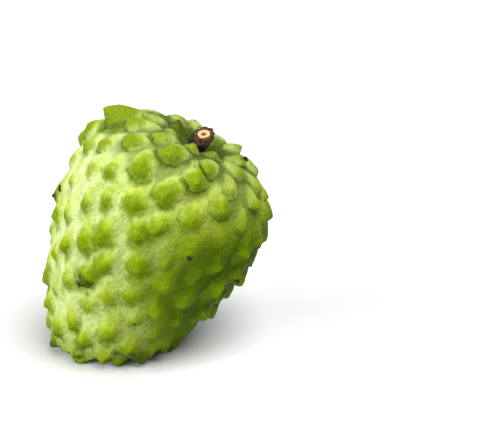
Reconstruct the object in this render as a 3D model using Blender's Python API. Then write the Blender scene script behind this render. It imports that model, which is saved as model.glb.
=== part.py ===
"""Atemoya: one whole fruit, as picked, with the cut stub of its stalk.

Metres, +Z up. The fruit stands on its blossom end on the plane Z = 0, leaning to +X, and the origin is
on that plane under the middle of its box. Run it with: blender --background --python part.py

An atemoya grows as one body of many fused carpels. Each carpel shows outside as an areole: a low
swelling with a blunt nose that points away from the stalk. The areoles follow one spiral from the stalk
to the blossom end, each a golden angle on from the last, and the relief is raised from them by a formula.
The body is worked out upright, as a turned heart shape, and then bent, leaned and flattened underneath.
"""
import math

import bmesh
import bpy
import numpy as np
from mathutils import Matrix

# Driving dimensions of the flesh under the noses: a heart, broad at the stalk and narrow below.
BODY_RADIUS = 0.0424
HALF_LENGTH = 0.0704
HEART = 0.49
SHOULDER_BLUNT = 0.014
BLOSSOM_BLUNT = 0.105
CAVITY_DEPTH = 0.0085
CAVITY_ANGLE = 0.30

# How this fruit departs from a turned form. One side grew longer, so it bends over to +X.
BEND = math.radians(14)
LEAN = math.radians(18)
NOD = math.radians(-1)
FLAT_UNDERSIDE = 0.0186
FLAT_ROUNDING = 0.0030
PRESSED_INTO_FLOOR = 0.0024

# Areoles. Lengths in the nose's own plan are shares of the spacing between areoles.
AREOLES = 195
UNDER_STALK = 1
GOLDEN_ANGLE = math.pi * (3 - math.sqrt(5))
FIRST_TURN = 0.4
NOSE_HEIGHT = 0.0030
NOSE_AHEAD = 0.14
NOSE_FRONT = 0.36
NOSE_BACK = 0.64
NOSE_SIDE = 0.38
NOSE_BLUNT = 1.15
NOSE_LEAN = 0.25
NOSE_FLAT_AT_STALK = 0.5
SWELL_HEIGHT = 0.0009
SWELL_AT_STALK = 0.0042
CREASE_WIDTH = 0.62
UNEVEN_HEIGHT = 0.25
UNEVEN_PLACE = 0.13
SEED = 3

# Mesh.
TIP_RING = 0.17
TIP_RING_POINTS = 6
TIP_CLEAR = 0.25
FILL_POINTS = 4700

# Stalk stub, and the plain socket that its root stands in.
ROOT_RADIUS = 0.0043
ROOT_DEPTH = 0.0045
KNOB_RADIUS = 0.0057
KNOB_FOOT = 0.0022
KNOB_HEIGHT = 0.0066
CUT_HEIGHT = 0.0102
CUT_RADIUS = 0.0048
CUT_BEVEL = 0.0004
STALK_SIDES = 24
STALK_RINGS = 9
FURROWS = 7
FURROW_DEPTH = 0.00025
SOCKET_GAP = 0.0003
SOCKET_SIDES = 32

GREEN = (0.42, 0.60, 0.10)
BROWN = (0.12, 0.055, 0.03)


def profile(theta):
    """Radius from the fruit's axis and height along it, at an angle that runs from the stalk's pole."""
    upper = (1 + np.cos(theta)) / 2
    blunt = SHOULDER_BLUNT * upper + BLOSSOM_BLUNT * (1 - upper)
    radius = BODY_RADIUS * np.sin(theta) * (1 + HEART * np.cos(theta))
    height = HALF_LENGTH * (np.cos(theta) - blunt * np.cos(3 * theta))
    cavity = CAVITY_DEPTH * np.exp(-((theta / CAVITY_ANGLE) ** 2))
    return radius, height - cavity


def slope(theta):
    """How fast the profile's radius and height change with the angle."""
    step = 1e-4
    radius_after, height_after = profile(theta + step)
    radius_before, height_before = profile(theta - step)
    return (radius_after - radius_before) / (2 * step), (height_after - height_before) / (2 * step)


def body_area():
    """Angles down the body, and the area of skin above each."""
    theta = np.linspace(0, math.pi, 2001)
    radius, _ = profile(theta)
    strip = 2 * math.pi * np.maximum(radius, 0) * np.hypot(*slope(theta))
    area = np.concatenate([[0], np.cumsum((strip[1:] + strip[:-1]) / 2 * np.diff(theta))])
    return theta, area


def spiral(count, first_turn=0.0):
    """Angle from the stalk and turn round the axis of points that share the skin out evenly."""
    theta, area = body_area()
    index = np.arange(count)
    return np.interp((index + 0.5) / count * area[-1], area, theta), index * GOLDEN_ANGLE + first_turn


def skin(theta, turn):
    """Points on the turned body with their outward normals and the ways down and across the skin."""
    radius, height = profile(theta)
    radius_slope, height_slope = slope(theta)
    length = np.hypot(radius_slope, height_slope)[:, None]
    cos_turn, sin_turn = np.cos(turn), np.sin(turn)
    point = np.stack([radius * cos_turn, radius * sin_turn, height], axis=-1)
    out = np.stack([-height_slope * cos_turn, -height_slope * sin_turn, radius_slope], axis=-1) / length
    down = np.stack([radius_slope * cos_turn, radius_slope * sin_turn, height_slope], axis=-1) / length
    across = np.stack([-sin_turn, cos_turn, np.zeros_like(turn)], axis=-1)
    return point, out, down, across


def moved(theta, turn, down, across):
    """The angles after a step of so many metres down and across the skin."""
    radius, _ = profile(theta)
    return theta + down / np.hypot(*slope(theta)), turn + across / np.maximum(radius, 0.004)


def near_stalk(theta):
    """1 at the stalk's cavity, falling to 0 below the shoulder."""
    share = np.clip((theta - 0.35) / 0.75, 0, 1)
    return 1 - share * share * (3 - 2 * share)


class Areoles:
    """Where the areoles are, how far apart, and how each differs from the next."""

    def __init__(self):
        draw = np.random.default_rng(SEED)
        _, area = body_area()
        self.spacing = math.sqrt(area[-1] / AREOLES * 2 / math.sqrt(3))
        theta, turn = spiral(AREOLES, FIRST_TURN)
        shift = draw.uniform(-UNEVEN_PLACE, UNEVEN_PLACE, (2, AREOLES)) * self.spacing
        theta, turn = moved(theta, turn, *shift)
        height = 1 + draw.uniform(-UNEVEN_HEIGHT, UNEVEN_HEIGHT, AREOLES)
        self.theta, self.turn, self.height = theta[UNDER_STALK:], turn[UNDER_STALK:], height[UNDER_STALK:]
        self.near_stalk = near_stalk(self.theta)
        self.point, self.out, self.down, self.across = skin(self.theta, self.turn)

    def tips(self):
        """The angles of each nose's tip."""
        return moved(self.theta, self.turn, NOSE_AHEAD * self.spacing, 0)


def relief(areoles, theta, turn):
    """Points on the skin of the turned body, plain and with the areoles raised."""
    point, out, down, _ = skin(theta, turn)
    nearest = np.full(len(theta), 9.0)
    second = np.full(len(theta), 9.0)
    nose = np.zeros(len(theta))
    for k in range(len(areoles.theta)):
        offset = (point - areoles.point[k]) / areoles.spacing
        distance = np.linalg.norm(offset, axis=1)
        second = np.minimum(second, np.maximum(nearest, distance))
        nearest = np.minimum(nearest, distance)
        ahead = offset @ areoles.down[k] - NOSE_AHEAD
        aside = offset @ areoles.across[k]
        through = offset @ areoles.out[k]
        reach = np.where(ahead > 0, NOSE_FRONT, NOSE_BACK)
        far = np.sqrt((ahead / reach) ** 2 + (aside / NOSE_SIDE) ** 2 + through**2)
        slack = np.clip((1 - far) * NOSE_BLUNT, 0, 1)
        flat = 1 - NOSE_FLAT_AT_STALK * areoles.near_stalk[k]
        nose = np.maximum(nose, areoles.height[k] * flat * slack**2 * (3 - 2 * slack))
    at_stalk = near_stalk(theta)
    edge = np.clip((second - nearest) / CREASE_WIDTH, 0, 1)
    swell_height = SWELL_HEIGHT + (SWELL_AT_STALK - SWELL_HEIGHT) * at_stalk
    rise = swell_height * (1 - (1 - edge) ** 2) + NOSE_HEIGHT * nose
    lean = NOSE_HEIGHT * nose * NOSE_LEAN * (1 + at_stalk)
    return point, point + rise[:, None] * out + lean[:, None] * down


def bent(points):
    """Turned-body points after the fruit's own bend and lean."""
    x, y, z = points.T
    bend_radius = 2 * HALF_LENGTH / BEND
    turned = z / bend_radius
    x, z = bend_radius - (bend_radius - x) * np.cos(turned), (bend_radius - x) * np.sin(turned)
    tilt = Matrix.Rotation(LEAN + BEND / 2, 3, "Y") @ Matrix.Rotation(NOD, 3, "X")
    return np.stack([x, y, z], axis=-1) @ np.array(tilt).T


def flattened(plain, raised):
    """The raised points after the plain skin below them is flattened underneath, as where it lay."""
    level = plain[:, 2].min() + FLAT_UNDERSIDE
    lift = level + np.logaddexp(0, (plain[:, 2] - level) / FLAT_ROUNDING) * FLAT_ROUNDING - plain[:, 2]
    result = raised.copy()
    result[:, 2] += lift
    return result


def scaffold(theta, turn):
    """A closed bmesh of triangles over these angles: the hull of the points on a plain egg."""
    mesh = bmesh.new()
    for t, a in zip(theta, turn):
        radius = BODY_RADIUS * math.sin(t)
        mesh.verts.new((radius * math.cos(a), radius * math.sin(a), HALF_LENGTH * math.cos(t)))
    mesh.verts.ensure_lookup_table()
    bmesh.ops.convex_hull(mesh, input=mesh.verts)
    return mesh


def mesh_angles(areoles):
    """The angles of the fruit's vertices: each tip, a ring round it, and an even fill between."""
    tip_theta, tip_turn = areoles.tips()
    theta, turn = [tip_theta], [tip_turn]
    step = TIP_RING * areoles.spacing
    for i in range(TIP_RING_POINTS):
        way = 2 * math.pi * i / TIP_RING_POINTS
        ring = moved(tip_theta, tip_turn, step * math.cos(way), step * math.sin(way))
        theta.append(ring[0])
        turn.append(ring[1])
    fill_theta, fill_turn = spiral(FILL_POINTS)
    tips = skin(tip_theta, tip_turn)[0]
    fill = skin(fill_theta, fill_turn)[0]
    gap = np.linalg.norm(fill[:, None] - tips[None], axis=2).min(axis=1)
    clear = gap > TIP_CLEAR * areoles.spacing
    return np.concatenate(theta + [fill_theta[clear]]), np.concatenate(turn + [fill_turn[clear]])


def material(name, colour, roughness):
    made = bpy.data.materials.new(name)
    made.use_nodes = True
    shader = made.node_tree.nodes["Principled BSDF"]
    shader.inputs["Base Color"].default_value = (*colour, 1)
    shader.inputs["Roughness"].default_value = roughness
    shader.inputs["Metallic"].default_value = 0
    return made


def add_object(name, mesh, made_of=None):
    data = bpy.data.meshes.new(name)
    mesh.to_mesh(data)
    mesh.free()
    data.shade_smooth()
    if made_of:
        data.materials.append(made_of)
    thing = bpy.data.objects.new(name, data)
    bpy.context.scene.collection.objects.link(thing)
    return thing


def add_fruit():
    """The fruit, standing on its flattened noses, and the move that stood it there."""
    areoles = Areoles()
    theta, turn = mesh_angles(areoles)
    mesh = scaffold(theta, turn)
    plain, raised = relief(areoles, theta, turn)
    points = flattened(bent(plain), bent(raised))
    points[:, 2] -= points[:, 2].min() + PRESSED_INTO_FLOOR
    stood = np.maximum(points * [0, 0, 1], 0) + points * [1, 1, 0]
    middle = (stood.min(axis=0) + stood.max(axis=0)) / 2
    for vertex, place in zip(mesh.verts, stood - middle * [1, 1, 0]):
        vertex.co = place
    bmesh.ops.recalc_face_normals(mesh, faces=mesh.faces)
    move = stood[0] - middle * [1, 1, 0] - bent(raised)[0]
    return add_object("fruit", mesh, material("green skin", GREEN, 0.5)), move


def eased(share):
    """0 to 1 with a level start and end."""
    share = min(max(share, 0.0), 1.0)
    return share * share * (3 - 2 * share)


def stalk_radius(height, turn):
    """Radius of the stub over the skin at the fruit's pole: a plain root, then a furrowed knob."""
    knob = (KNOB_RADIUS - ROOT_RADIUS) * eased((height - KNOB_FOOT) / (KNOB_HEIGHT - KNOB_FOOT))
    narrow = (KNOB_RADIUS - CUT_RADIUS) * eased((height - KNOB_HEIGHT) / (CUT_HEIGHT - KNOB_HEIGHT))
    furrow = FURROW_DEPTH * eased((height - KNOB_FOOT) / (KNOB_HEIGHT - KNOB_FOOT)) * math.cos(FURROWS * turn)
    return ROOT_RADIUS + knob - narrow + furrow


def ring(mesh, radius, height, sides):
    """A ring of vertices round the fruit's axis; radius may be a length or a rule of the turn."""
    turns = [2 * math.pi * i / sides for i in range(sides)]
    lengths = [radius(turn) if callable(radius) else radius for turn in turns]
    return [mesh.verts.new((r * math.cos(t), r * math.sin(t), height)) for r, t in zip(lengths, turns)]


def close(mesh, rings):
    """Skin a stack of rings, and its two ends."""
    for below, above in zip(rings, rings[1:]):
        for i in range(len(below)):
            j = (i + 1) % len(below)
            mesh.faces.new((below[i], below[j], above[j], above[i]))
    mesh.faces.new(list(reversed(rings[0])))
    mesh.faces.new(rings[-1])


def stand(mesh, move):
    """Bend the mesh with the fruit's axis and stand it with the fruit."""
    for vertex in mesh.verts:
        vertex.co = bent(np.array([vertex.co]))[0] + move


def add_stalk(move):
    _, pole = profile(0.0)
    mesh = bmesh.new()
    rings = [ring(mesh, ROOT_RADIUS, pole - ROOT_DEPTH, STALK_SIDES)]
    for height in np.linspace(0, CUT_HEIGHT - CUT_BEVEL, STALK_RINGS):
        rings.append(ring(mesh, lambda turn: stalk_radius(height, turn), pole + height, STALK_SIDES))
    cut = lambda turn: stalk_radius(CUT_HEIGHT, turn) - CUT_BEVEL
    rings.append(ring(mesh, cut, pole + CUT_HEIGHT, STALK_SIDES))
    close(mesh, rings)
    stand(mesh, move)
    return add_object("stalk", mesh, material("woody stalk", BROWN, 0.8))


def cut_socket(fruit, move):
    """The hole in the fruit where the stalk's root stands, a hair wider and deeper than the stalk."""
    _, pole = profile(0.0)
    mesh = bmesh.new()
    rings = [ring(mesh, ROOT_RADIUS + SOCKET_GAP, pole - ROOT_DEPTH - SOCKET_GAP, SOCKET_SIDES)]
    for height in np.linspace(0, CUT_HEIGHT, STALK_RINGS):
        rings.append(ring(mesh, stalk_radius(height, 0) + SOCKET_GAP, pole + height, SOCKET_SIDES))
    close(mesh, rings)
    stand(mesh, move)
    cutter = add_object("stalk_socket_cutter", mesh)
    cutter.hide_render = True
    cutter.display_type = "WIRE"
    cut = fruit.modifiers.new("stalk socket", "BOOLEAN")
    cut.operation = "DIFFERENCE"
    cut.solver = "EXACT"
    cut.object = cutter


def build():
    fruit, move = add_fruit()
    add_stalk(move)
    cut_socket(fruit, move)


for old in list(bpy.data.objects):
    bpy.data.objects.remove(old)
build()
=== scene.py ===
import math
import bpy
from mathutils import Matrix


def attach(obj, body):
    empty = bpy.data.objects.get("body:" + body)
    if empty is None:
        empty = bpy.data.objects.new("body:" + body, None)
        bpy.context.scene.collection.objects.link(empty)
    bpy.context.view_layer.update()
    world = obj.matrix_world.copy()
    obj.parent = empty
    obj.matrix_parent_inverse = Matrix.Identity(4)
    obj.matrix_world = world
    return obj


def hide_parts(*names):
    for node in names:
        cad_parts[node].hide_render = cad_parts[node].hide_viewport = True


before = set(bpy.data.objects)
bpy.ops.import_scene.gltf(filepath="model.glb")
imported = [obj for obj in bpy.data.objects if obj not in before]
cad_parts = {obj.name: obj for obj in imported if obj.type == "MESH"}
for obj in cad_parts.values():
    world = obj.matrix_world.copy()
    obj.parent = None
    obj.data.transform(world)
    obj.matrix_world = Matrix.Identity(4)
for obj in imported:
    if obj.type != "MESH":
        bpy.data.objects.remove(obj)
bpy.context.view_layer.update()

# Atemoya: one whole fruit as picked, its green skin raised in blunt noses on one golden-angle spiral,
# with the cut stub of its stalk. Metres, +Z up; the fruit stands on its blossom end and leans to +X.
from types import SimpleNamespace

import bmesh
import bpy
import numpy as np
from mathutils import Vector, noise

# The shape of the fruit: the solid's kind of body, with values fitted closer to the photograph.
# Lengths in metres, angles in radians; a nose's own plan is in shares of the spacing between noses.
# A scale is the rounder kind of nose that stands by the stalk.
SHAPE = {
    "Body radius": 0.0427,
    "Half length": 0.0739,
    "Heart": 0.49,
    "Shoulder blunt": -0.010,
    "Blossom blunt": 0.110,
    "Cavity depth": 0.0130,
    "Cavity angle": 0.30,
    "Bend": math.radians(8.6),
    "Lean": math.radians(21.2),
    "Nod": math.radians(-1.9),
    "Flat underside": 0.0204,
    "Flat rounding": 0.0030,
    "Pressed into floor": 0.0024,
    "Nose height": 0.0052,
    "Nose ahead": 0.16,
    "Nose front": 0.42,
    "Nose back": 1.15,
    "Nose side": 0.51,
    "Nose round": 0.19,
    "Nose pinch": 1.75,
    "Nose lean": 0.27,
    "Scale height": 0.0051,
    "Scale front": 0.40,
    "Scale back": 0.98,
    "Scale side": 0.43,
    "Scale pinch": 1.06,
    "Sunk at stalk": 0.0044,
    "Crease depth": 0.0008,
    "Warp": 0.0038,
    "Warp size": 0.0085,
    "Grain height": 0.0010,
    "Grain size": 0.0042,
}

# The noses follow one spiral down from the stalk, and the first of them are left out under it.
NOSES = 195
UNDER_STALK = 1
GOLDEN_ANGLE = math.pi * (3 - math.sqrt(5))
FIRST_TURN = 0.4

# The most that a draw adds to a nose or takes away: shares of its height, its size and the spacing, and
# for the aim radians. The draw across the fruit turns a nose no further than it would at NARROWEST.
UNEVEN_HEIGHT = 0.42
UNEVEN_SIZE = 0.22
UNEVEN_AIM = 0.40
UNEVEN_PLACE = 0.15
NARROWEST = 0.004
SEED = 3

# Noses with a size of their own, none of them dried: the place in the spiral, the height, the size, and
# how many spacings nearer to the stalk the nose stands. First the proud scale at the upper left, then
# three lowered ones behind the skyline and four fuller ones below the stub.
OWN_SIZES = [
    (30, 2.4, 1.25, 0.22),
    (14, 0.45, 0.9, 0.0),
    (6, 0.5, 0.9, 0.0),
    (9, 0.7, 1.0, 0.0),
    (15, 1.15, 1.05, 0.12),
    (28, 1.35, 1.1, 0.05),
    (33, 1.2, 1.05, 0.0),
    (41, 1.25, 1.05, 0.05),
]

# Where things change down the fruit: the angle from the stalk's pole where a change starts, and how
# far it runs. Scales give way to noses, the stalk's end to plain skin, and the low end dries more often.
SCALES_FROM = 0.40
SCALES_OVER = 0.95
STALK_END_FROM = 0.35
STALK_END_OVER = 0.75
LOW_END_FROM = 2.1
LOW_END_OVER = 0.7

# Noses are joined by this power of their heights in millimetres: the higher, the sharper the join.
JOIN_POWER = 4
MILLIMETRE = 0.001

# Two scales meet where the joined height is this many times the higher one's: where the crease between
# them starts, and where it is full. It comes in over the first part, one in MEETING_EASE, of a scale's
# height and of the way into the stalk's end.
MEETING_FROM = 1.03
MEETING_FULL = 1.15
MEETING_EASE = 3

# The foot under a scale's front, which gets a painted shadow: its place between the middle, 0, and the
# edge, 1, how wide it is, and how far ahead of the middle it is full.
FOOT_AT = 0.92
FOOT_WIDE = 0.24
FOOT_EASE = 0.15

# The tip of a nose: how far ahead of the middle it is, how much a distance along the nose counts
# against one across it, and how strong the tip is on a nose of no height, where a plain one has 1.
# The tip's green is partly its own colour and partly painted shade on the nose's lower side.
TIP_AHEAD = 0.10
TIP_LONG = 0.80
TIP_FAINT = 0.60

# The cells of the skin's mesh along a side of its cube, and those of the bloom's streaks in a radian
# round the fruit and down it.
SKIN_CELLS = 126
STREAKS_ROUND = 11.0
STREAKS_DOWN = 5.5

# For the sums: the points along the profile, the step of its slope, how far the angles stay off the
# poles, and a height too small to see that keeps a division from zero.
PROFILE_POINTS = 2001
SLOPE_STEP = 0.002
CLEAR_OF_POLES = 0.0001
TINY_HEIGHT = 0.00001

# The stalk stub, measured up from the skin at the fruit's pole.
ROOT_RADIUS = 0.0040
ROOT_DEPTH = 0.0030
KNOB_RADIUS = 0.0049
KNOB_FOOT = 0.0022
KNOB_HEIGHT = 0.0062
CUT_HEIGHT = 0.0095
CUT_RADIUS = 0.0041
CUT_SLANT = math.radians(36)
CUT_SLANT_TURN = math.radians(52)
FURROWS = 7
FURROW_DEPTH = 0.00025
BARK_DEPTH = 0.00035
BARK_GRAIN = 0.0016
FINER_GRAIN = 2.3
FINER_SHARE = 0.5
WOOD_RADIUS = 0.0027
WOOD_DISH = 0.0004
PITH_RADIUS = 0.0011
STALK_SIDES = 96
STALK_RINGS = 60
CUT_RINGS = 14

# The dried remains of the flower's tips, on some of the noses. How deep one sits, how far it stays off
# the floor, its stretch and its least and largest size are shares of the radius.
DRIED_SHARE = 0.13
DRIED_MORE_LOW = 0.5
DRIED_RADIUS = 0.0011
DRIED_SUNK = 0.35
DRIED_OFF_FLOOR = 2
DRIED_STRETCH = (1, 1.25, 0.65)
DRIED_LEAST = 0.55
DRIED_LARGEST = 1.3
DRIED_CRUMPLE = 0.9
DRIED_CRUMPLE_SCALE = 1.3

# The camera, at the photograph's angle.
LENS = 85
DISTANCE = 0.555
ELEVATION = math.radians(21.2)
LOOK_AT = Vector((0, 0, 0.063))
LOOK_RIGHT = 0.0442
LOOK_UP = 0.0002

# The light: a broad soft one from the left, one from above and a weaker one from the front. The room
# lights the fruit less than it shows behind it.
SIDE_LIGHT = 4.5
SIDE_SPREAD = math.radians(50)
SIDE_FROM = (-0.88, -0.36, 0.34)
TOP_LIGHT = 5.5
TOP_SPREAD = math.radians(45)
TOP_FROM = (0.38, -0.28, 1.0)
FRONT_LIGHT = 1.3
FRONT_SPREAD = math.radians(60)
FRONT_FROM = (-0.50, -0.80, 0.48)
ROOM_LIGHT = 0.12
BACKDROP = 1.0
FLOOR_GREY = (0.53, 0.54, 0.53)
FLOOR_SIZE = 6


class Field:
    """A value in a node tree; ordinary arithmetic on it adds the nodes that work it out."""

    def __init__(self, tree, socket):
        self.tree = tree
        self.socket = socket
        self.is_vector = socket.type == "VECTOR"

    def __add__(self, other):
        return combined("ADD", self, other)

    def __radd__(self, other):
        return combined("ADD", other, self)

    def __sub__(self, other):
        return combined("SUBTRACT", self, other)

    def __rsub__(self, other):
        return combined("SUBTRACT", other, self)

    def __mul__(self, other):
        if self.is_vector and not is_vector(other):
            return scaled(self, other)
        if is_vector(other) and not self.is_vector:
            return scaled(other, self)
        return combined("MULTIPLY", self, other)

    __rmul__ = __mul__

    def __truediv__(self, other):
        if self.is_vector:
            return scaled(self, calc("DIVIDE", 1, other) if isinstance(other, Field) else 1 / other)
        return calc("DIVIDE", self, other)

    def __pow__(self, power):
        return calc("POWER", self, power)

    def __neg__(self):
        return self * -1


def is_vector(value):
    return isinstance(value, Field) and value.is_vector


def feed(socket, value):
    """Give a node's input a value: another node's output or a plain number, vector or colour."""
    if isinstance(value, Field):
        value.tree.links.new(value.socket, socket)
    else:
        socket.default_value = value


def tree_of(values):
    return next(value.tree for value in values if isinstance(value, Field))


def calc(operation, *values):
    """One Math node."""
    made = tree_of(values).nodes.new("ShaderNodeMath")
    made.operation = operation
    for socket, value in zip(made.inputs, values):
        feed(socket, value)
    return Field(made.id_data, made.outputs[0])


def vector_calc(operation, *values):
    """One Vector Math node."""
    made = tree_of(values).nodes.new("ShaderNodeVectorMath")
    made.operation = operation
    for socket, value in zip(made.inputs, values):
        feed(socket, value)
    gives_number = operation in ("DOT_PRODUCT", "LENGTH", "DISTANCE")
    return Field(made.id_data, made.outputs["Value" if gives_number else "Vector"])


def scaled(vector, share):
    made = vector.tree.nodes.new("ShaderNodeVectorMath")
    made.operation = "SCALE"
    feed(made.inputs[0], vector)
    feed(made.inputs["Scale"], share)
    return Field(made.id_data, made.outputs["Vector"])


def combined(operation, first, second):
    if is_vector(first) or is_vector(second):
        return vector_calc(operation, first, second)
    return calc(operation, first, second)


# The next few work on plain numbers, on arrays and on fields, so that one formula serves all three.


def sine(angle):
    return calc("SINE", angle) if isinstance(angle, Field) else np.sin(angle)


def cosine(angle):
    return calc("COSINE", angle) if isinstance(angle, Field) else np.cos(angle)


def exponential(value):
    return calc("EXPONENT", value) if isinstance(value, Field) else np.exp(value)


def root(value):
    return calc("SQRT", value) if isinstance(value, Field) else np.sqrt(value)


def limited(value, low=0.0, high=1.0):
    if isinstance(value, Field):
        return calc("MINIMUM", calc("MAXIMUM", value, low), high)
    return np.clip(value, low, high)


def mixed(first, second, share):
    return first + (second - first) * share


def eased(share):
    """0 to 1 with a level start and end."""
    share = limited(share)
    return share * share * (3 - 2 * share)


def arrow(x, y, z):
    """A vector of three parts."""
    parts = (x, y, z)
    if not any(isinstance(part, Field) for part in parts):
        return np.stack(np.broadcast_arrays(*parts), axis=-1)
    made = tree_of(parts).nodes.new("ShaderNodeCombineXYZ")
    for socket, part in zip(made.inputs, parts):
        feed(socket, part)
    return Field(made.id_data, made.outputs[0])


def parts_of(vector):
    if not isinstance(vector, Field):
        return np.moveaxis(np.asarray(vector), -1, 0)
    made = vector.tree.nodes.new("ShaderNodeSeparateXYZ")
    feed(made.inputs[0], vector)
    return [Field(made.id_data, socket) for socket in made.outputs]


def profile(theta, s):
    """Radius from the fruit's axis and height along it, at an angle that runs from the stalk's pole."""
    upper = (1 + cosine(theta)) / 2
    blunt = s.shoulder_blunt * upper + s.blossom_blunt * (1 - upper)
    radius = s.body_radius * sine(theta) * (1 + s.heart * cosine(theta))
    height = s.half_length * (cosine(theta) - blunt * cosine(theta * 3))
    cavity = s.cavity_depth * exponential(-((theta / s.cavity_angle) ** 2))
    return radius, height - cavity


def slope(theta, s):
    """How fast the profile's radius and height change with the angle."""
    radius_after, height_after = profile(theta + SLOPE_STEP, s)
    radius_before, height_before = profile(theta - SLOPE_STEP, s)
    run = 2 * SLOPE_STEP
    return (radius_after - radius_before) / run, (height_after - height_before) / run


def skin(theta, turn, s):
    """A point on the turned body, the way out of it, and the ways down and across the skin."""
    radius, height = profile(theta, s)
    radius_slope, height_slope = slope(theta, s)
    length = root(radius_slope * radius_slope + height_slope * height_slope)
    fall, spread = height_slope / length, radius_slope / length
    cos_turn, sin_turn = cosine(turn), sine(turn)
    point = arrow(radius * cos_turn, radius * sin_turn, height)
    out = arrow(-fall * cos_turn, -fall * sin_turn, spread)
    down = arrow(spread * cos_turn, spread * sin_turn, fall)
    return point, out, down, arrow(-sin_turn, cos_turn, cos_turn * 0)


def near_stalk(theta):
    """1 at the stalk's cavity, falling to 0 below the shoulder."""
    return 1 - eased((theta - STALK_END_FROM) / STALK_END_OVER)


def bent(point, s):
    """A point of the turned body after the fruit's own bend and lean."""
    x, y, z = parts_of(point)
    bend_radius = 2 * s.half_length / s.bend
    turned = z / bend_radius
    x, z = bend_radius - (bend_radius - x) * cosine(turned), (bend_radius - x) * sine(turned)
    y, z = y * cosine(s.nod) - z * sine(s.nod), y * sine(s.nod) + z * cosine(s.nod)
    tilt = s.lean + s.bend / 2
    return arrow(x * cosine(tilt) + z * sine(tilt), y, z * cosine(tilt) - x * sine(tilt))


def plain_sizes():
    """The shape's values as numbers, by their names in the formulas."""
    return SimpleNamespace(**{name.lower().replace(" ", "_"): value for name, value in SHAPE.items()})


def skin_area(s):
    """Angles from the stalk's pole, and the area of the skin from the pole to each of them."""
    theta = np.linspace(0, math.pi, PROFILE_POINTS)
    radius, _ = profile(theta, s)
    strip = 2 * math.pi * np.maximum(radius, 0) * np.hypot(*slope(theta, s))
    return theta, np.concatenate([[0], np.cumsum((strip[1:] + strip[:-1]) / 2 * np.diff(theta))])


def nose_sites():
    """Where the noses stand, as points with the attributes that the nodes read, and their spacing."""
    s = plain_sizes()
    theta, area = skin_area(s)
    spacing = math.sqrt(area[-1] / NOSES * 2 / math.sqrt(3))

    draw = np.random.default_rng(SEED)
    index = np.arange(NOSES)
    site_theta = np.interp((index + 0.5) / NOSES * area[-1], area, theta)
    site_turn = index * GOLDEN_ANGLE + FIRST_TURN
    down_shift, across_shift = draw.uniform(-UNEVEN_PLACE, UNEVEN_PLACE, (2, NOSES)) * spacing
    radius, _ = profile(site_theta, s)
    site_turn = site_turn + across_shift / np.maximum(radius, NARROWEST)
    site_theta = site_theta + down_shift / np.hypot(*slope(site_theta, s))
    height = 1 + draw.uniform(-UNEVEN_HEIGHT, UNEVEN_HEIGHT, NOSES)
    size = 1 + draw.uniform(-UNEVEN_SIZE, UNEVEN_SIZE, NOSES)
    aim = draw.uniform(-UNEVEN_AIM, UNEVEN_AIM, NOSES)
    low_end = eased((site_theta - LOW_END_FROM) / LOW_END_OVER)
    chance = draw.uniform(0, 1, NOSES) * (1 - DRIED_MORE_LOW * low_end)
    for which, taller, larger, nearer in OWN_SIZES:
        height[which] = taller
        size[which] = larger
        chance[which] = 1
        site_theta[which] -= nearer * spacing / np.hypot(*slope(site_theta[which], s))

    kept = slice(UNDER_STALK, None)
    point, out, down, across = skin(site_theta[kept], site_turn[kept], s)
    cos_aim, sin_aim = np.cos(aim[kept])[:, None], np.sin(aim[kept])[:, None]
    down, across = down * cos_aim + across * sin_aim, across * cos_aim - down * sin_aim
    numbers = {
        "site_height": height[kept],
        "site_size": size[kept],
        "site_chance": chance[kept],
        "site_near_stalk": 1 - eased((site_theta[kept] - SCALES_FROM) / SCALES_OVER),
    }
    vectors = {"site_out": out, "site_down": down, "site_across": across}
    return site_mesh(point, numbers, vectors), spacing


def site_mesh(point, numbers, vectors):
    """Loose points with these attributes."""
    mesh = bpy.data.meshes.new("nose_sites")
    mesh.from_pydata(point.tolist(), [], [])
    for name, values in numbers.items():
        mesh.attributes.new(name, "FLOAT", "POINT").data.foreach_set("value", values.astype(np.float32))
    for name, values in vectors.items():
        flat = values.astype(np.float32).ravel()
        mesh.attributes.new(name, "FLOAT_VECTOR", "POINT").data.foreach_set("vector", flat)
    return mesh


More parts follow.
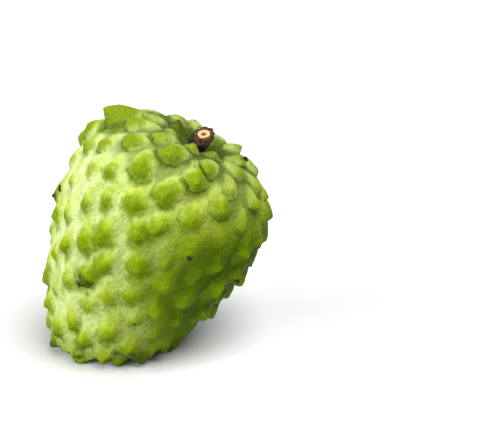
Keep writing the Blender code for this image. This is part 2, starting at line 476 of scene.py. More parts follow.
class Tree:
    """A Geometry Nodes tree under construction."""

    def __init__(self, name):
        self.tree = bpy.data.node_groups.new(name, "GeometryNodeTree")
        self.tree.interface.new_socket("Geometry", in_out="INPUT", socket_type="NodeSocketGeometry")
        self.tree.interface.new_socket("Geometry", in_out="OUTPUT", socket_type="NodeSocketGeometry")
        self.way_in = self.tree.nodes.new("NodeGroupInput")
        self.way_out = self.tree.nodes.new("NodeGroupOutput")
        self.values = {}

    def input(self, name, kind, value):
        """A named input, and the value that the piece gives it."""
        socket = self.tree.interface.new_socket(name, in_out="INPUT", socket_type=kind)
        self.values[socket.identifier] = value
        return Field(self.tree, self.way_in.outputs[name])

    def add(self, kind, **inputs):
        """A node; inputs whose names start with a capital are sockets, the rest are settings."""
        made = self.tree.nodes.new(kind)
        for name, value in inputs.items():
            if not name[0].isupper():
                setattr(made, name, value)
        for name, value in inputs.items():
            if name[0].isupper():
                enabled = [s for s in made.inputs if s.enabled and s.name == name.replace("_", " ")]
                feed(enabled[0], value)
        return made

    def field(self, kind, output, **inputs):
        made = self.add(kind, **inputs)
        return Field(self.tree, next(s for s in made.outputs if s.enabled and s.name == output))

    def read(self, name, kind="FLOAT"):
        return self.field("GeometryNodeInputNamedAttribute", "Attribute", data_type=kind, Name=name)

    def store(self, geometry, name, value, kind="FLOAT"):
        return self.field(
            "GeometryNodeStoreNamedAttribute", "Geometry",
            data_type=kind, domain="POINT", Geometry=geometry, Name=name, Value=value,
        )

    def sample(self, geometry, value, index, kind="FLOAT"):
        return self.field(
            "GeometryNodeSampleIndex", "Value",
            data_type=kind, domain="POINT", Geometry=geometry, Value=value, Index=index,
        )

    def lowest(self, geometry, value):
        return self.field("GeometryNodeAttributeStatistic", "Min", Geometry=geometry, Attribute=value)

    def middle(self, geometry, value):
        made = self.add("GeometryNodeAttributeStatistic", Geometry=geometry, Attribute=value)
        low, high = (Field(self.tree, made.outputs[name]) for name in ("Min", "Max"))
        return (low + high) / 2

    def finish(self, geometry, material):
        """Shade smooth, set the material and end the tree."""
        real = self.field("GeometryNodeRealizeInstances", "Geometry", Geometry=geometry)
        smooth = self.field("GeometryNodeSetShadeSmooth", "Geometry", Geometry=real)
        chosen = self.input("Material", "NodeSocketMaterial", material)
        done = self.field("GeometryNodeSetMaterial", "Geometry", Geometry=smooth, Material=chosen)
        feed(self.way_out.inputs["Geometry"], done)

    def grow(self, name, mesh):
        """The tree's result on a mesh, as a plain piece."""
        source = bpy.data.objects.new(name + "_source", mesh)
        bpy.context.scene.collection.objects.link(source)
        modifier = source.modifiers.new("grow", "NODES")
        modifier.node_group = self.tree
        for identifier, value in self.values.items():
            modifier[identifier] = value
        evaluated = source.evaluated_get(bpy.context.evaluated_depsgraph_get())
        data = bpy.data.meshes.new_from_object(evaluated)
        data.name = name
        bpy.data.objects.remove(source)
        return add_piece(name, data)


def add_piece(name, data):
    piece = bpy.data.objects.new(name, data)
    bpy.context.scene.collection.objects.link(piece)
    return piece


def shape_inputs(grower):
    """The shape's values as the tree's named inputs."""
    fields = {}
    for name, value in SHAPE.items():
        fields[name.lower().replace(" ", "_")] = grower.input(name, "NodeSocketFloat", value)
    return SimpleNamespace(**fields)


def round_cells(grower, cells):
    """A closed ball of even square cells, with its points' angles from the stalk and round the axis."""
    cube = grower.add("GeometryNodeMeshCube", Size=(2, 2, 2))
    for name in ("Vertices X", "Vertices Y", "Vertices Z"):
        feed(cube.inputs[name], cells)
    place = grower.field("GeometryNodeInputPosition", "Position")
    evened = vector_calc("TANGENT", place * (math.pi / 4))
    x, y, z = parts_of(vector_calc("NORMALIZE", evened))
    theta, turn = calc("ARCCOSINE", z), calc("ARCTAN2", y, x)
    ball = Field(grower.tree, cube.outputs["Mesh"])
    ball = grower.store(ball, "theta", limited(theta, CLEAR_OF_POLES, math.pi - CLEAR_OF_POLES))
    return grower.store(ball, "turn", turn)


def one_nose(grower, sites, index, spacing, s):
    """One nose at each point of the skin: its height, the foot of its front, its tip and its draw."""

    def site(name, kind="FLOAT"):
        return grower.sample(sites, grower.read(name, kind), index, kind)

    place = grower.field("GeometryNodeInputPosition", "Position")
    centre = grower.sample(sites, place, index, "FLOAT_VECTOR")
    down, across = site("site_down", "FLOAT_VECTOR"), site("site_across", "FLOAT_VECTOR")
    out = site("site_out", "FLOAT_VECTOR")
    height, size = site("site_height"), site("site_size")
    by_stalk = site("site_near_stalk")

    offset = (grower.read("warped", "FLOAT_VECTOR") - centre) / spacing
    ahead = vector_calc("DOT_PRODUCT", offset, down) - s.nose_ahead
    aside = vector_calc("DOT_PRODUCT", offset, across)
    through = vector_calc("DOT_PRODUCT", offset, out)
    in_front = calc("GREATER_THAN", ahead, 0)
    front = mixed(s.nose_front, s.scale_front, by_stalk)
    back = mixed(s.nose_back, s.scale_back, by_stalk)
    side = mixed(s.nose_side, s.scale_side, by_stalk)
    reach = mixed(back, front, in_front)
    edge = root((ahead / reach) ** 2 + (aside / side) ** 2 + through * through) / size
    far = root(edge * edge + s.nose_round * s.nose_round)
    tall = height * mixed(s.nose_height, s.scale_height, by_stalk)
    nose = tall * limited(1 - far) ** mixed(s.nose_pinch, s.scale_pinch, by_stalk)
    foot = 1 - calc("ABSOLUTE", edge - FOOT_AT) / FOOT_WIDE
    foot = foot * limited(ahead / FOOT_EASE) * by_stalk
    from_tip = root(((ahead - TIP_AHEAD) * TIP_LONG) ** 2 + aside * aside + through * through) / size
    tip = (1 - from_tip) * mixed(TIP_FAINT, 1, height)
    return nose, foot, tip, site("site_chance")


def raise_noses(grower, ball, sites, spacing, dried, s):
    """Work out every nose in turn, keeping at each point of the skin how high the noses stand there."""
    for name in ("nose", "crest", "foot", "tip", "stain"):
        ball = grower.store(ball, name, 0.0)
    count = grower.field("GeometryNodeAttributeDomainSize", "Point Count", Geometry=sites)
    start = grower.tree.nodes.new("GeometryNodeRepeatInput")
    end = grower.tree.nodes.new("GeometryNodeRepeatOutput")
    start.pair_with_output(end)
    feed(start.inputs["Iterations"], count)
    feed(start.inputs["Geometry"], ball)
    ball = Field(grower.tree, start.outputs["Geometry"])
    index = Field(grower.tree, start.outputs["Iteration"])

    nose, foot, tip, chance = one_nose(grower, sites, index, spacing, s)
    stain = tip * calc("LESS_THAN", chance, dried)
    for name, value in (("tip", tip), ("stain", stain), ("crest", nose), ("foot", foot)):
        ball = grower.store(ball, name, calc("MAXIMUM", grower.read(name), value))
    ball = grower.store(ball, "nose", grower.read("nose") + (nose / MILLIMETRE) ** JOIN_POWER)
    feed(end.inputs["Geometry"], ball)
    return Field(grower.tree, end.outputs["Geometry"])


def cloud(grower, size, output):
    """Soft noise over the plain skin: a number or a vector, 0.5 on average."""
    return grower.field(
        "ShaderNodeTexNoise", output,
        Vector=grower.read("plain", "FLOAT_VECTOR") / size, Scale=1.0, Detail=2.0, Roughness=0.5,
    )


def skin_tree(spacing, material):
    """The tree that grows the fruit's skin from the sites of its noses."""
    grower = Tree("fruit skin")
    s = shape_inputs(grower)
    gap = grower.input("Nose spacing", "NodeSocketFloat", spacing)
    cells = grower.input("Cells along a side", "NodeSocketInt", SKIN_CELLS + 1)
    dried = grower.input("Share of noses dried", "NodeSocketFloat", DRIED_SHARE)
    sites = Field(grower.tree, grower.way_in.outputs["Geometry"])

    ball = round_cells(grower, cells)
    theta, turn = grower.read("theta"), grower.read("turn")
    point, out, down, _ = skin(theta, turn, s)
    ball = grower.store(ball, "plain", point, "FLOAT_VECTOR")
    drift = vector_calc("SUBTRACT", cloud(grower, s.warp_size, "Color"), (0.5, 0.5, 0.5))
    warped = grower.read("plain", "FLOAT_VECTOR") + drift * s.warp
    ball = grower.store(ball, "warped", warped, "FLOAT_VECTOR")
    ball = raise_noses(grower, ball, sites, gap, dried, s)
    ball = grower.store(ball, "nose", grower.read("nose") ** (1 / JOIN_POWER) * MILLIMETRE)

    at_stalk = near_stalk(theta)
    ball = grower.store(ball, "at_stalk", at_stalk)
    around = arrow(cosine(turn) * STREAKS_ROUND, sine(turn) * STREAKS_ROUND, theta * STREAKS_DOWN)
    ball = grower.store(ball, "around", around, "FLOAT_VECTOR")
    nose = grower.read("nose")
    shared = nose / (grower.read("crest") + TINY_HEIGHT)
    meeting = eased((shared - MEETING_FROM) / (MEETING_FULL - MEETING_FROM))
    meeting = meeting * eased(nose / s.scale_height * MEETING_EASE) * eased(at_stalk * MEETING_EASE)
    ball = grower.store(ball, "crease", meeting)
    grain = cloud(grower, s.grain_size, "Fac") - 0.5
    rise = nose - s.sunk_at_stalk * at_stalk + grain * s.grain_height
    rise = rise - grower.read("crease") * s.crease_depth
    lean = nose * s.nose_lean * (1 + at_stalk)
    ball = grower.store(ball, "raised", bent(point + out * rise + down * lean, s), "FLOAT_VECTOR")
    ball = grower.store(ball, "settled", bent(point, s), "FLOAT_VECTOR")
    grower.finish(stood(grower, ball, s), material)
    return grower


def stood(grower, ball, s):
    """The raised skin flattened underneath, pressed onto the floor and moved over the origin."""
    _, _, plain_z = parts_of(grower.read("settled", "FLOAT_VECTOR"))
    level = grower.lowest(ball, plain_z) + s.flat_underside
    softened = calc("LOGARITHM", 1 + exponential((plain_z - level) / s.flat_rounding), math.e)
    lift = level + softened * s.flat_rounding - plain_z
    x, y, z = parts_of(grower.read("raised", "FLOAT_VECTOR"))
    ball = grower.store(ball, "raised", arrow(x, y, z + lift), "FLOAT_VECTOR")
    floor = grower.lowest(ball, z) + s.pressed_into_floor
    place = arrow(
        x - grower.middle(ball, x),
        y - grower.middle(ball, y),
        calc("MAXIMUM", z - floor, 0),
    )
    return grower.field("GeometryNodeSetPosition", "Geometry", Geometry=ball, Position=place)


def stalk_radius(height, turn):
    """Radius of the stub over the skin at the fruit's pole: a plain root, then a furrowed knob."""
    swollen = eased((height - KNOB_FOOT) / (KNOB_HEIGHT - KNOB_FOOT))
    narrow = (KNOB_RADIUS - CUT_RADIUS) * eased((height - KNOB_HEIGHT) / (CUT_HEIGHT - KNOB_HEIGHT))
    furrow = FURROW_DEPTH * swollen * np.cos(FURROWS * turn)
    return ROOT_RADIUS + (KNOB_RADIUS - ROOT_RADIUS) * swollen - narrow + furrow


def stalk_rings():
    """Radius, height and how far in from the rim, 0 on the bark and 1 at the heart, ring by ring."""
    rings = [(None, height, 0.0) for height in np.linspace(-ROOT_DEPTH, CUT_HEIGHT, STALK_RINGS)]
    for inward in np.linspace(0, 1, CUT_RINGS + 1)[1:]:
        rings.append((CUT_RADIUS * (1 - inward), CUT_HEIGHT, inward))
    return rings


def stalk_point(radius, height, turn, inward):
    """A point of the stub before it's stood: rough on the bark, dished and slanted on the cut."""
    if radius is None:
        radius = float(stalk_radius(height, turn))
    spot = Vector((radius * math.cos(turn), radius * math.sin(turn), height))
    rough = noise.noise(spot / BARK_GRAIN) + FINER_SHARE * noise.noise(spot / BARK_GRAIN * FINER_GRAIN)
    radius *= 1 + rough * BARK_DEPTH / CUT_RADIUS * (1 - inward) ** 2
    dish = WOOD_DISH * (1 - min(radius / WOOD_RADIUS, 1) ** 2)
    slant = math.tan(CUT_SLANT) * radius * math.cos(turn - CUT_SLANT_TURN)
    slant *= float(eased(height / CUT_HEIGHT))
    return radius * math.cos(turn), radius * math.sin(turn), height - dish * (inward > 0) + slant


def stalk_mesh(move):
    """The stub as rings up the bark and in over the cut end, with its place on the cut kept."""
    _, pole = profile(0.0, plain_sizes())
    pole = pole - SHAPE["Sunk at stalk"]
    turns = np.linspace(0, 2 * math.pi, STALK_SIDES, endpoint=False)
    mesh = bmesh.new()
    layer = mesh.verts.layers.float.new("inward")
    rings = []
    for radius, height, inward in stalk_rings():
        places = [stalk_point(radius, height, turn, inward) for turn in turns]
        if inward == 1:
            places = places[:1]
        moved = bent(np.array(places) + (0, 0, pole), plain_sizes()) + move
        rings.append([mesh.verts.new(place) for place in moved])
        for vertex in rings[-1]:
            vertex[layer] = inward
    for below, above in zip(rings, rings[1:]):
        for i in range(STALK_SIDES):
            j = (i + 1) % STALK_SIDES
            if len(above) == 1:
                mesh.faces.new((below[i], below[j], above[0]))
            else:
                mesh.faces.new((below[i], below[j], above[j], above[i]))
    mesh.faces.new(list(reversed(rings[0])))
    for face in mesh.faces:
        face.smooth = True
    data = bpy.data.meshes.new("stalk_stub")
    mesh.to_mesh(data)
    mesh.free()
    return data


def skin_move(fruit):
    """How far the skin's formulas were moved to stand the fruit, read from a point near the stalk."""
    count = len(fruit.data.vertices)
    theta = np.empty(count, np.float32)
    raised = np.empty(count * 3, np.float32)
    placed = np.empty(count * 3, np.float32)
    fruit.data.attributes["theta"].data.foreach_get("value", theta)
    fruit.data.attributes["raised"].data.foreach_get("vector", raised)
    fruit.data.vertices.foreach_get("co", placed)
    top = int(theta.argmin())
    return (placed.reshape(-1, 3) - raised.reshape(-1, 3))[top]


def dried_places(grower, skin_mesh, spacing, radius):
    """On the sites: where the dried lump goes on the grown skin, and the way out of the skin there."""
    warped = grower.read("warped", "FLOAT_VECTOR")
    unfolded = grower.field("GeometryNodeSetPosition", "Geometry", Geometry=skin_mesh, Position=warped)
    place = grower.field("GeometryNodeInputPosition", "Position")
    ahead = SHAPE["Nose ahead"] * spacing
    tip = place + grower.read("site_down", "FLOAT_VECTOR") * ahead
    index = grower.field("GeometryNodeSampleNearest", "Index", Geometry=unfolded, Sample_Position=tip)
    found = grower.sample(skin_mesh, place, index, "FLOAT_VECTOR")
    normal = grower.field("GeometryNodeInputNormal", "Normal")
    out = grower.sample(skin_mesh, normal, index, "FLOAT_VECTOR")
    return found - out * radius * DRIED_SUNK, out


def crumpled(grower, lumps):
    """The lumps with their points moved by noise."""
    place = grower.field("GeometryNodeInputPosition", "Position")
    crumple = grower.field(
        "ShaderNodeTexNoise", "Color",
        Vector=place / DRIED_RADIUS, Scale=DRIED_CRUMPLE_SCALE, Detail=2.0, Roughness=0.5,
    )
    moved = vector_calc("SUBTRACT", crumple, (0.5, 0.5, 0.5)) * DRIED_RADIUS * DRIED_CRUMPLE
    return grower.field("GeometryNodeSetPosition", "Geometry", Geometry=lumps, Position=place + moved)


def dried_tree(fruit, spacing, material):
    """The tree that sets a small dried lump on the noses whose draw is low enough."""
    grower = Tree("dried tips")
    share = grower.input("Share of noses", "NodeSocketFloat", DRIED_SHARE)
    radius = grower.input("Radius", "NodeSocketFloat", DRIED_RADIUS)
    skin_object = grower.input("Fruit", "NodeSocketObject", fruit)
    sites = Field(grower.tree, grower.way_in.outputs["Geometry"])
    skin_mesh = grower.field("GeometryNodeObjectInfo", "Geometry", Object=skin_object)
    where, out = dried_places(grower, skin_mesh, spacing, radius)
    _, _, height = parts_of(where)
    chosen = calc("LESS_THAN", grower.read("site_chance"), share)
    chosen = chosen * calc("GREATER_THAN", height, radius * DRIED_OFF_FLOOR)
    points = grower.field(
        "GeometryNodeMeshToPoints", "Points", Mesh=sites, Selection=chosen, Position=where,
    )
    # The way out is worked out again here, from the moved point. So a lump doesn't lie flat on its
    # nose: it is turned by the skin of another place.
    points = grower.store(points, "out", out, "FLOAT_VECTOR")
    turned = grower.field(
        "FunctionNodeAlignRotationToVector", "Rotation",
        axis="Z", Vector=grower.read("out", "FLOAT_VECTOR"),
    )
    size = grower.field(
        "FunctionNodeRandomValue", "Value",
        data_type="FLOAT", Min=DRIED_LEAST, Max=DRIED_LARGEST, Seed=SEED,
    )
    lumps = grower.field(
        "GeometryNodeInstanceOnPoints", "Instances", Points=points, Rotation=turned,
        Instance=grower.field("GeometryNodeMeshIcoSphere", "Mesh", Radius=radius, Subdivisions=3),
        Scale=arrow(*(size * stretch for stretch in DRIED_STRETCH)),
    )
    real = grower.field("GeometryNodeRealizeInstances", "Geometry", Geometry=lumps)
    grower.finish(crumpled(grower, real), material)
    return grower


def between(value, low, high):
    """0 below the low value, 1 above the high one, eased from one to the other."""
    made = value.tree.nodes.new("ShaderNodeMapRange")
    made.interpolation_type = "SMOOTHSTEP"
    for socket, setting in zip(made.inputs, (value, low, high, 0, 1)):
        feed(socket, setting)
    return Field(made.id_data, made.outputs["Result"])


def blend(share, first, second):
    """One colour going over to another."""
    made = tree_of((share, first, second)).nodes.new("ShaderNodeMix")
    made.data_type = "RGBA"
    sockets = [socket for socket in made.inputs if socket.enabled]
    for socket, value in zip(sockets, (share, first, second)):
        feed(socket, (*value, 1) if isinstance(value, tuple) else value)
    return Field(made.id_data, next(socket for socket in made.outputs if socket.enabled))


def effect(name, **inputs):
    """An empty shader node group with these inputs and one output, Mask, and its inputs as fields."""
    group = bpy.data.node_groups.new(name, "ShaderNodeTree")
    for title, value in inputs.items():
        kind = "NodeSocketVector" if title == "Vector" else "NodeSocketFloat"
        socket = group.interface.new_socket(title, in_out="INPUT", socket_type=kind)
        if kind == "NodeSocketFloat":
            socket.default_value = value
    group.interface.new_socket("Mask", in_out="OUTPUT", socket_type="NodeSocketFloat")
    way_in = group.nodes.new("NodeGroupInput")
    way_out = group.nodes.new("NodeGroupOutput")
    given = {title.lower(): Field(group, way_in.outputs[title]) for title in inputs}
    return group, SimpleNamespace(**given), way_out.inputs["Mask"]


def mottle_effect():
    """Soft patches: 0 to 1 over the surface, in patches of the given size."""
    group, given, mask = effect("mottle", Vector=None, Size=0.01, Low=0.4, High=0.6)
    cloudy = group.nodes.new("ShaderNodeTexNoise")
    cloudy.inputs["Scale"].default_value = 1
    cloudy.inputs["Detail"].default_value = 4
    feed(cloudy.inputs["Vector"], given.vector / given.size)
    feed(mask, between(Field(group, cloudy.outputs["Fac"]), given.low, given.high))
    return group


def speck_effect():
    """Scattered round specks: Share is how many of the places have one, Radius is in shares of Size."""
    group, given, mask = effect("specks", Vector=None, Size=0.003, Radius=0.2, Share=0.3)
    cells = group.nodes.new("ShaderNodeTexVoronoi")
    cells.inputs["Scale"].default_value = 1
    feed(cells.inputs["Vector"], given.vector / given.size)
    draw = group.nodes.new("ShaderNodeSeparateColor")
    group.links.new(cells.outputs["Color"], draw.inputs["Color"])
    chosen = calc("LESS_THAN", Field(group, draw.outputs["Red"]), given.share)
    size = mixed(SPECK_LEAST, 1, Field(group, draw.outputs["Green"]))
    spot = 1 - between(Field(group, cells.outputs["Distance"]) / (given.radius * size), *SPECK_EDGE)
    feed(mask, spot * chosen)
    return group


class Finish:
    """A material under construction round one Principled shader."""

    def __init__(self, name, **constants):
        self.material = bpy.data.materials.new(name)
        self.material.use_nodes = True
        self.tree = self.material.node_tree
        self.shader = self.tree.nodes["Principled BSDF"]
        for title, value in constants.items():
            self.shader.inputs[title.replace("_", " ")].default_value = value
        coordinates = self.tree.nodes.new("ShaderNodeTexCoord")
        self.place = Field(self.tree, coordinates.outputs["Object"])

    def read(self, name, output="Fac"):
        """One of the piece's own attributes."""
        made = self.tree.nodes.new("ShaderNodeAttribute")
        made.attribute_name = name
        return Field(self.tree, made.outputs[output])

    def effect(self, group, **inputs):
        """A shared effect with these inputs, by the place on the object if no other is given."""
        made = self.tree.nodes.new("ShaderNodeGroup")
        made.node_tree = group
        inputs.setdefault("Vector", self.place)
        for title, value in inputs.items():
            feed(made.inputs[title], value)
        return Field(self.tree, made.outputs[0])

    def set(self, title, value):
        feed(self.shader.inputs[title], value)

    def bump(self, height, depth):
        """Raise the surface by the height times the depth in metres."""
        made = self.tree.nodes.new("ShaderNodeBump")
        made.inputs["Strength"].default_value = 1
        made.inputs["Distance"].default_value = depth
        feed(made.inputs["Height"], height)
        self.set("Normal", Field(self.tree, made.outputs["Normal"]))


# Specks are between this share of their size and all of it, and fade out towards their edge.
SPECK_LEAST = 0.4
SPECK_EDGE = (0.6, 1.0)

BLOOM = (0.48, 0.545, 0.31)
MID_GREEN = (0.205, 0.275, 0.004)
YELLOW_GREEN = (0.262, 0.328, 0.004)
# The deep green that the right side goes over to is painted shade.
SHADED_SIDE_GREEN = (0.035, 0.068, 0.0004)
# The deep green of the tips, also used as painted shade near the floor.
NOSE_AND_SHADE_GREEN = (0.098, 0.156, 0.0005)
# The pale green of the stalk's end. The top of the fruit is painted with it too, as painted light.
STALK_END_AND_LIT_TOP_GREEN = (0.262, 0.328, 0.040)
# The near black green of the painted shade by the stalk.
CREASE_SHADE_GREEN = (0.028, 0.050, 0.002)
SCAR_BROWN = (0.09, 0.05, 0.015)
STAIN_BROWN = (0.022, 0.024, 0.006)

# The sizes of the skin's marks, in metres, and how far the patches shift a border between two colours.
WOBBLE_SIZE = 0.0035
CRUMB_SIZE = 0.0016
PORE_SIZE = 0.0007
PALE_SPECK_SIZE = 0.0022
SCAR_SIZE = 0.0095
PATCH_SIZE = 0.028
PATCH_SHIFT = 0.012

# Where the skin goes over from one colour to another, as the start of the change and its end. Places on
# the fruit are in metres, to the right or up, and the gap round the stalk is an angle from the pole.
# The right side's painted shade, which fades out towards the top.
SHADE_RIGHT = (-0.022, 0.032)
SHADE_FADES_UP = (0.055, 0.090)
# Where the bloom is taken off the right side as painted shade.
BLOOM_SHADE_RIGHT = (-0.035, 0.022)
# Where the top is made paler, as painted light.
LIT_TOP_UP = (0.066, 0.100)
BLOOM_UP = (0.0, 0.060)
# Where the painted shade near the floor ends.
FLOOR_SHADE_UP = (0.003, 0.024)
# Painted shade in the gap round the stalk.
STALK_GAP_SHADE = (0.13, 0.32)

# The same for what is measured on the noses: their height, as a share of a full nose or scale, the
# nearness to a tip, a foot or a crease, and the nearness to the stalk.
VALLEY = (-0.06, 0.54)
VALLEY_WIDER_BY_STALK = 0.34
ON_TIP = (0.53, 0.90)
# The low places, folds, meeting lines and feet under the scales' fronts are painted shade.
LOW_PLACE = (0.02, 0.36)
LOW_BY_STALK = (0.35, 0.90)
FOLD = (0.0, 0.20)
FOLD_BY_STALK = (0.02, 0.30)
MEETING_LINE = (0.10, 0.75)
FOOT_SHADOW_LINE = (0.10, 0.70)
FOOT_SHADOW_TOP = (0.30, 0.60)
BASE_TIP = (0.62, 0.92)
STAIN = (0.80, 1.04)

# How much of a colour or mark there is where it is full, from 0 to 1. In the functions below, the factor
# beside wobble is how far it frays the border of a mark.
SHADE_LOST_AT_TOP = 0.95
BLOOM_SHADE_LOST_AT_TOP = 0.45
STALK_END_SHARE = 0.75
LIT_TOP_SHARE = 0.55
BLOOM_SHARE = 0.91
BLOOM_AT_FLOOR = 0.64
BLOOM_LOST_BY_STALK = 0.25
TIP_SHARE = 0.94
TIP_LOST_BY_STALK = 0.24
# The next four are the shares of painted shade by the stalk.
LOW_SHARE = 0.80
FOLD_SHARE = 0.55
MEETING_SHARE = 0.85
FOOT_SHADOW_SHARE = 0.62
FLOOR_SHADE_SHARE = 0.45
BASE_TIP_SHARE = 0.80
STAIN_SHARE = 0.85
GAP_SHADE_SHARE = 0.90
PALE_SPECK_SHARE = 0.30
SCAR_SHARE = 0.80
SKIN_ROUGHNESS = 0.56
SKIN_BUMP = 0.00022


def skin_marks(finish, mottle):
    """What the skin's colours go by: its attributes, the place on the fruit and four soft noises."""
    side, _, height = parts_of(finish.place)
    around = finish.read("around", "Vector")
    names = ("nose", "tip", "theta", "at_stalk", "crease", "foot", "stain")
    marks = SimpleNamespace(
        height=height,
        wobble=finish.effect(mottle, Size=WOBBLE_SIZE, Low=0.25, High=0.75) - 0.5,
        streaks=finish.effect(mottle, Vector=around, Size=1.0, Low=0.35, High=0.65),
        crumbs=finish.effect(mottle, Size=CRUMB_SIZE, Low=0.30, High=0.70),
        patches=finish.effect(mottle, Size=PATCH_SIZE, Low=0.35, High=0.65),
        **{name: finish.read(name) for name in names},
    )
    marks.right = side + marks.patches * PATCH_SHIFT
    # Painted shade: the right side goes over to a deep green, fading out towards the top.
    marks.away = between(marks.right, *SHADE_RIGHT) * (1 - between(height, *SHADE_FADES_UP) * SHADE_LOST_AT_TOP)
    return marks


def plain_green(marks):
    """The green of the skin: yellower in patches, deeper green on the right side as painted shade, paler
    by the stalk, and paler at the top as painted light.
    """
    green = blend(marks.patches, MID_GREEN, YELLOW_GREEN)
    green = blend(marks.away, green, SHADED_SIDE_GREEN)
    # Painted light: the top of the fruit is made paler.
    lit_top = between(marks.height, *LIT_TOP_UP) * LIT_TOP_SHARE
    return blend(calc("MAXIMUM", marks.at_stalk * STALK_END_SHARE, lit_top), green, STALK_END_AND_LIT_TOP_GREEN)


def pale_bloom(marks):
    """The bloom in the valleys between noses, in streaks, and mostly taken off the right side as painted
    shade.
    """
    share = marks.nose / SHAPE["Nose height"] + marks.wobble * 0.10
    valley = 1 - between(share - marks.at_stalk * VALLEY_WIDER_BY_STALK, *VALLEY)
    # Painted shade: most of the bloom is taken off the right side, less of it near the top.
    kept_at_top = 1 - between(marks.height, *LIT_TOP_UP) * BLOOM_SHADE_LOST_AT_TOP
    bloom_off_in_shade = between(marks.right, *BLOOM_SHADE_RIGHT) * kept_at_top
    bloom = valley * (0.46 + 0.30 * marks.streaks + 0.10 * marks.crumbs)
    bloom = bloom * (1 - marks.at_stalk * BLOOM_LOST_BY_STALK) * (1 - bloom_off_in_shade)
    return bloom * mixed(BLOOM_AT_FLOOR, 1, between(marks.height, *BLOOM_UP))


def painted_crease_shade(marks):
    """Painted shade by the stalk: low places, folds, lines where two scales meet and under their fronts.
    """
    share = marks.nose / SHAPE["Scale height"]
    low = 1 - between(share + marks.wobble * 0.15, *LOW_PLACE)
    low = low * between(marks.at_stalk, *LOW_BY_STALK)
    fold = 1 - between(share + marks.wobble * 0.12, *FOLD)
    fold = fold * between(marks.at_stalk, *FOLD_BY_STALK)
    meeting = between(marks.crease + marks.wobble * 0.25, *MEETING_LINE)
    foot = between(marks.foot + marks.wobble * 0.30, *FOOT_SHADOW_LINE) * (1 - between(share, *FOOT_SHADOW_TOP))
    darkest = calc("MAXIMUM", low * LOW_SHARE, fold * FOLD_SHARE)
    darkest = calc("MAXIMUM", darkest, meeting * MEETING_SHARE)
    return calc("MAXIMUM", darkest, foot * FOOT_SHADOW_SHARE)


def skin_finish(mottle, specks):
    """Green skin: deep on the noses, pale bloom between; painted shade by the stalk, on the right and
    near the floor.
    """
    finish = Finish("green_skin", Specular_IOR_Level=0.03)
    marks = skin_marks(finish, mottle)
    wobble, crumbs = marks.wobble, marks.crumbs
    bloom, crease = pale_bloom(marks), painted_crease_shade(marks)
    # The tips' deep green: their own colour, with painted shade on their lower side.
    on_nose = between(marks.tip + wobble * 0.18, *ON_TIP)
    # Painted shade near the floor: the skin goes deeper green there, and the tips there go brown.
    near_floor_shade = 1 - between(marks.height + wobble * 0.006, *FLOOR_SHADE_UP)
    base_tip = near_floor_shade * between(marks.tip + wobble * 0.3, *BASE_TIP)
    stained = between(marks.stain + wobble * 0.35, *STAIN)
    # Painted shade in the gap round the stalk.
    gap = 1 - between(marks.theta + wobble * 0.10, *STALK_GAP_SHADE)
    pale = finish.effect(specks, Size=PALE_SPECK_SIZE, Radius=0.16, Share=0.35)
    scars = finish.effect(specks, Size=SCAR_SIZE, Radius=0.055, Share=0.35)

    colour = blend(bloom * BLOOM_SHARE, plain_green(marks), BLOOM)
    for share, tint in (
        (on_nose * (TIP_SHARE - TIP_LOST_BY_STALK * marks.at_stalk), NOSE_AND_SHADE_GREEN),
        (wobble * 0.34 + 0.12 - crumbs * 0.12, NOSE_AND_SHADE_GREEN),
        (crease, CREASE_SHADE_GREEN),
        (near_floor_shade * FLOOR_SHADE_SHARE, NOSE_AND_SHADE_GREEN),
        (base_tip * BASE_TIP_SHARE, STAIN_BROWN),
        (stained * STAIN_SHARE, STAIN_BROWN),
        (gap * GAP_SHADE_SHARE, CREASE_SHADE_GREEN),
        (pale * PALE_SPECK_SHARE * (1 - marks.away), BLOOM),
        (scars * SCAR_SHARE, SCAR_BROWN),
    ):
        colour = blend(share, colour, tint)
    finish.set("Base Color", colour)
    finish.set("Roughness", SKIN_ROUGHNESS - on_nose * 0.14 + bloom * 0.1)
    pores = finish.effect(mottle, Size=PORE_SIZE, Low=0.25, High=0.75)
    finish.bump(crumbs * 1.6 + pores * 0.4 + marks.streaks * 0.8 - crease * 1.5, SKIN_BUMP)
    return finish.material


BARK_DARK = (0.012, 0.006, 0.004)
BARK_BROWN = (0.11, 0.048, 0.020)
WOOD_CREAM = (0.60, 0.41, 0.20)
WOOD_TAN = (0.36, 0.18, 0.07)
PITH_BROWN = (0.10, 0.035, 0.010)
DRIED_BLACK = (0.006, 0.005, 0.004)
DRIED_BROWN = (0.030, 0.020, 0.010)

# The stub's marks, in metres: the bark's cracks and patches, and how far up its foot stays dark, partly
# a corky collar and partly painted shade. The rings are in radians a metre, and the edges of the pith
# and the wood in shares of their radii.
CRACK_SIZE = 0.0011
BARK_PATCH_SIZE = 0.0035
BARK_FOOT = (0.006, 0.0135)
RINGS = 9000
PITH_EDGE = (0.7, 1.5)
WOOD_EDGE = (0.92, 1.08)
BARK_BUMP = 0.00035
DRIED_CRACK_SIZE = 0.0006
DRIED_BUMP = 0.0001


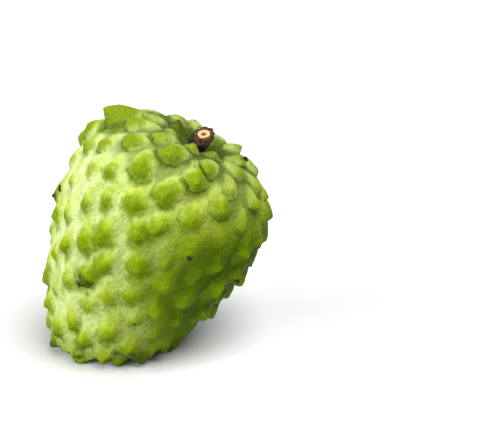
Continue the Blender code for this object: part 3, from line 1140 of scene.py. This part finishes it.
def stalk_finish(mottle, lowest):
    """Dark cracked bark, darkest at its foot, partly a collar and partly painted shade, and a pale cut
    end with rings round a brown pith.
    """
    finish = Finish("woody_stalk", Specular_IOR_Level=0.25)
    cracks = finish.effect(mottle, Size=CRACK_SIZE, Low=0.35, High=0.62)
    patches = finish.effect(mottle, Size=BARK_PATCH_SIZE, Low=0.35, High=0.65)
    _, _, height = parts_of(finish.place)
    # Partly painted shade: the foot of the stub, where it meets the skin, goes nearly black.
    foot = 1 - between(height - lowest + patches * 0.002, *BARK_FOOT)
    bark = blend(cracks * (0.35 + 0.65 * patches), BARK_DARK, BARK_BROWN)
    bark = blend(foot * 0.9, bark, BARK_DARK)

    radius = (1 - finish.read("inward")) * CUT_RADIUS
    ring = sine(radius * RINGS + patches * 2.0) * 0.5 + 0.5
    wood = blend(ring * 0.30 + cracks * 0.15, WOOD_CREAM, WOOD_TAN)
    pith = 1 - between((radius + cracks * 0.0003) / PITH_RADIUS, *PITH_EDGE)
    wood = blend(pith, wood, PITH_BROWN)
    on_wood = 1 - between((radius + cracks * 0.0004) / WOOD_RADIUS, *WOOD_EDGE)
    finish.set("Base Color", blend(on_wood, bark, wood))
    finish.set("Roughness", 0.85 - on_wood * 0.2)
    finish.bump(cracks * 0.8 + ring * on_wood * 0.1 - pith * 0.5, BARK_BUMP)
    return finish.material


def dried_finish(mottle):
    """Nearly black, cracked."""
    finish = Finish("dried_tip", Specular_IOR_Level=0.2, Roughness=0.9)
    cracks = finish.effect(mottle, Size=DRIED_CRACK_SIZE, Low=0.4, High=0.65)
    finish.set("Base Color", blend(cracks, DRIED_BLACK, DRIED_BROWN))
    finish.bump(cracks, DRIED_BUMP)
    return finish.material


def add_camera():
    back = Vector((0, -math.cos(ELEVATION), math.sin(ELEVATION)))
    up = back.cross(Vector((1, 0, 0)))
    data = bpy.data.cameras.new("camera")
    data.lens = LENS
    camera = bpy.data.objects.new("camera", data)
    camera.location = LOOK_AT + Vector((LOOK_RIGHT, 0, 0)) + up * LOOK_UP + back * DISTANCE
    camera.rotation_euler = back.to_track_quat("Z", "Y").to_euler()
    bpy.context.scene.collection.objects.link(camera)
    bpy.context.scene.camera = camera


def add_sun(name, strength, spread, direction):
    data = bpy.data.lights.new(name, "SUN")
    data.energy = strength
    data.angle = spread
    light = bpy.data.objects.new(name, data)
    light.location = direction
    light.rotation_euler = Vector(direction).to_track_quat("Z", "Y").to_euler()
    bpy.context.scene.collection.objects.link(light)


def add_surroundings():
    """A plain pale floor, soft studio lights and a bright room."""
    mesh = bmesh.new()
    bmesh.ops.create_grid(mesh, x_segments=1, y_segments=1, size=FLOOR_SIZE)
    data = bpy.data.meshes.new("floor")
    mesh.to_mesh(data)
    mesh.free()
    floor = add_piece("floor", data)
    finish = Finish("pale_floor", Roughness=0.7, Specular_IOR_Level=0.2)
    finish.shader.inputs["Base Color"].default_value = (*FLOOR_GREY, 1)
    data.materials.append(finish.material)
    world = bpy.data.worlds.new("studio")
    world.use_nodes = True
    background = world.node_tree.nodes["Background"]
    background.inputs["Color"].default_value = (1, 1, 1, 1)
    rays = world.node_tree.nodes.new("ShaderNodeLightPath")
    seen = Field(world.node_tree, rays.outputs["Is Camera Ray"])
    feed(background.inputs["Strength"], mixed(ROOM_LIGHT, BACKDROP, seen))
    bpy.context.scene.world = world
    bpy.context.scene.view_settings.view_transform = "Standard"
    add_sun("side_light", SIDE_LIGHT, SIDE_SPREAD, SIDE_FROM)
    add_sun("top_light", TOP_LIGHT, TOP_SPREAD, TOP_FROM)
    add_sun("front_light", FRONT_LIGHT, FRONT_SPREAD, FRONT_FROM)


def build():
    add_camera()
    add_surroundings()
    mottle, specks = mottle_effect(), speck_effect()
    sites, spacing = nose_sites()
    fruit = skin_tree(spacing, skin_finish(mottle, specks)).grow("fruit_skin", sites)
    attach(fruit, "root")
    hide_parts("fruit")

    move = skin_move(fruit)
    stub = stalk_mesh(move)
    stub.materials.append(stalk_finish(mottle, float(min(vertex.co.z for vertex in stub.vertices))))
    stalk = add_piece("stalk_stub", stub)
    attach(stalk, "root")
    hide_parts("stalk")

    dried = dried_tree(fruit, spacing, dried_finish(mottle)).grow("dried_tips", sites)
    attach(dried, "root")


build()
